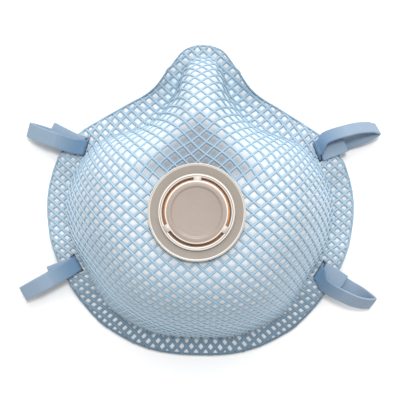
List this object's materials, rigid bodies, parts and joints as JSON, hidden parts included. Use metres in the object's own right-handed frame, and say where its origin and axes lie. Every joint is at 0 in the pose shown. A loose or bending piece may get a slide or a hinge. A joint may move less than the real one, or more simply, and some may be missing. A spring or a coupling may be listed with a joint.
{
  "type": "disposable dust mask",
  "caption": "Cup-shaped disposable dust mask with a blue net shell, white filter web, round beige exhalation valve and elastic head straps.",
  "frame": {"origin": "centre of the footprint, on the surface that the rim lies on", "axes": "+Z out of the front through the valve, +Y towards the nose, +X to the right seen from the front"},
  "size_m": [0.1572, 0.1356, 0.0504],
  "materials": {
    "net": "satin light-blue moulded netting",
    "filter_web": "white non-woven filter web",
    "lining": "soft white non-woven lining",
    "foam": "soft grey foam",
    "valve_plastic": "beige moulded plastic, satin",
    "flap_rubber": "amber natural rubber",
    "strap_elastic": "blue woven elastic"
  },
  "bodies": {
    "root": {"outer_net_shell": "net", "filter_layer": "filter_web", "inner_lining": "lining", "nose_cushion": "foam", "valve_seat": "valve_plastic", "valve_cover": "valve_plastic", "valve_clamp_ring": "valve_plastic", "strap_end_upper_left": "strap_elastic", "strap_end_upper_right": "strap_elastic", "strap_end_lower_left": "strap_elastic", "strap_end_lower_right": "strap_elastic"},
    "flap": {"valve_flap": "flap_rubber"},
    "loop_upper_left": {"strap_loop_upper_left": "strap_elastic"},
    "loop_upper_right": {"strap_loop_upper_right": "strap_elastic"},
    "loop_lower_left": {"strap_loop_lower_left": "strap_elastic"},
    "loop_lower_right": {"strap_loop_lower_right": "strap_elastic"},
    "upper_run": {"upper_strap_run": "strap_elastic"},
    "lower_run": {"lower_strap_run": "strap_elastic"}
  },
  "joints": [
    {"name": "flap_lift", "type": "slide", "parent": "root", "child": "flap", "axis": [0, 0, 1], "range_m": [0, 0.0008], "stiffness_N_per_m": 20},
    {"name": "loop_fold_upper_left", "type": "hinge", "parent": "root", "child": "loop_upper_left", "pos_m": [-0.05092, 0.02254, 0.00735], "axis": [0.2672, 0.9636, 0], "range_deg": [0, 60]},
    {"name": "loop_fold_upper_right", "type": "hinge", "parent": "root", "child": "loop_upper_right", "pos_m": [0.05095, 0.02247, 0.00735], "axis": [0.3907, -0.9205, 0], "range_deg": [0, 60]},
    {"name": "loop_fold_lower_left", "type": "hinge", "parent": "root", "child": "loop_lower_left", "pos_m": [-0.05299, -0.02859, 0.00735], "axis": [-0.515, 0.8572, 0], "range_deg": [0, 60]},
    {"name": "loop_fold_lower_right", "type": "hinge", "parent": "root", "child": "loop_lower_right", "pos_m": [0.05299, -0.02859, 0.00735], "axis": [-0.515, -0.8572, 0], "range_deg": [0, 60]},
    {"name": "strap_pull_upper", "type": "slide", "parent": "root", "child": "upper_run", "axis": [0, 0, -1], "range_m": [0, 0.08], "stiffness_N_per_m": 15},
    {"name": "strap_pull_lower", "type": "slide", "parent": "root", "child": "lower_run", "axis": [0, 0, -1], "range_m": [0, 0.08], "stiffness_N_per_m": 15}
  ]
}
